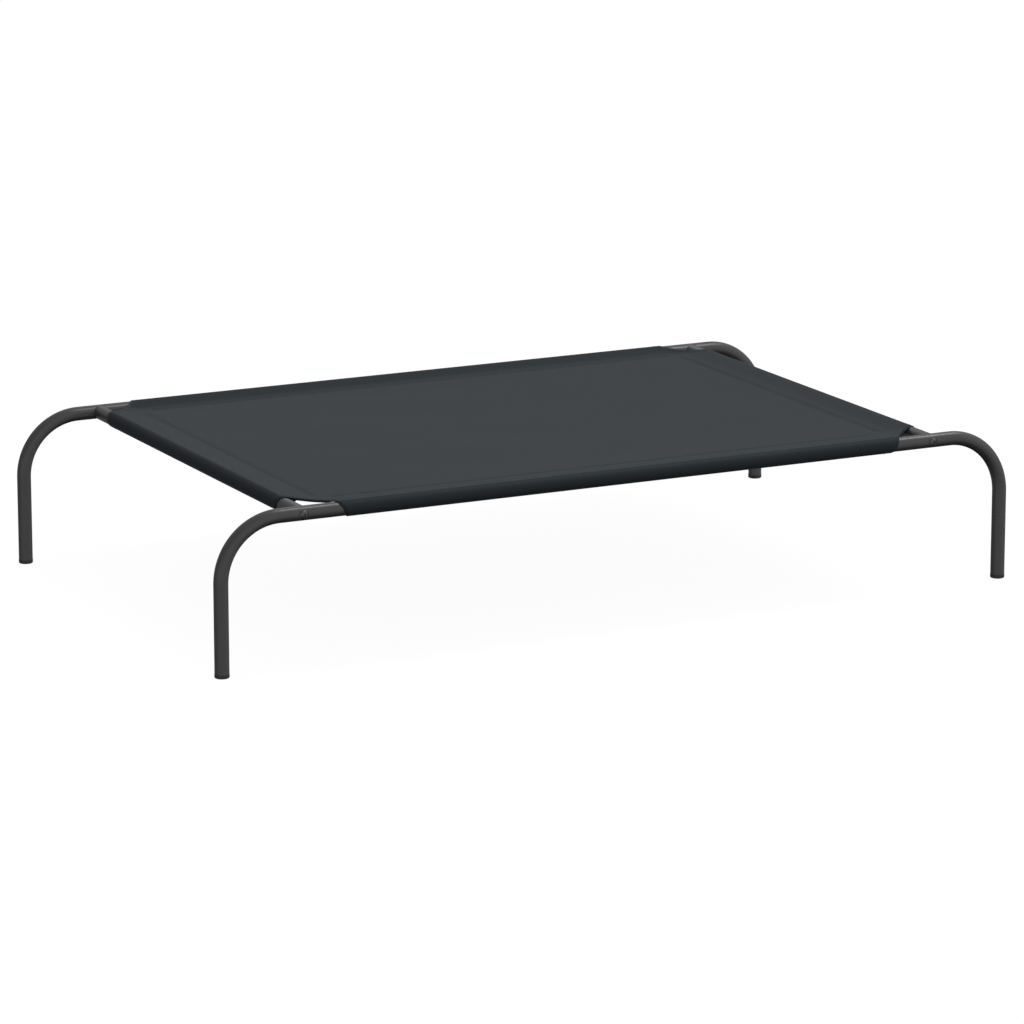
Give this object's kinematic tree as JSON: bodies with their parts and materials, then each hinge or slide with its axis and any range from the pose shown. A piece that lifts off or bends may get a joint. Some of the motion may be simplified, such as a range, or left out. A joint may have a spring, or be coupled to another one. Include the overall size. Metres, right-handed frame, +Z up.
{
  "type": "raised dog bed",
  "caption": "Raised rectangular dog bed: a flat dark cloth sling with sewn sleeves, stretched on a bolted frame of bent round steel tube with curved legs and plastic foot caps.",
  "frame": {"origin": "centre of the footprint, on the floor", "axes": "+X along the bed's length, +Y across its width, +Z up"},
  "size_m": [1.1004, 0.6542, 0.2001],
  "materials": {
    "powder_coated_steel": "satin dark grey powder coat with a fine orange peel",
    "zinc_plated_steel": "dull zinc plate",
    "black_bolt_steel": "satin dark grey coated bolt",
    "foot_cap_plastic": "moulded black plastic with a fine grain",
    "sling_cloth": "tight plain weave of coated yarn, matte dark grey",
    "sewing_thread": "twisted polyester thread, dark grey"
  },
  "bodies": {
    "root": {"side_rail_front": "powder_coated_steel", "side_rail_back": "powder_coated_steel", "leg_front_left": "powder_coated_steel", "leg_front_right": "powder_coated_steel", "leg_back_left": "powder_coated_steel", "leg_back_right": "powder_coated_steel", "crossbar_left": "powder_coated_steel", "crossbar_right": "powder_coated_steel", "insert_front_left": "zinc_plated_steel", "insert_front_right": "zinc_plated_steel", "insert_back_left": "zinc_plated_steel", "insert_back_right": "zinc_plated_steel", "bolt_front_left": "black_bolt_steel", "bolt_front_right": "black_bolt_steel", "bolt_back_left": "black_bolt_steel", "bolt_back_right": "black_bolt_steel", "foot_cap_front_left": "foot_cap_plastic", "foot_cap_front_right": "foot_cap_plastic", "foot_cap_back_left": "foot_cap_plastic", "foot_cap_back_right": "foot_cap_plastic", "bed_panel": "sling_cloth", "sleeve_front": "sling_cloth", "sleeve_back": "sling_cloth", "sleeve_left": "sling_cloth", "sleeve_right": "sling_cloth", "seam_thread_front": "sewing_thread", "seam_thread_back": "sewing_thread", "seam_thread_left": "sewing_thread", "seam_thread_right": "sewing_thread"}
  },
  "joints": []
}
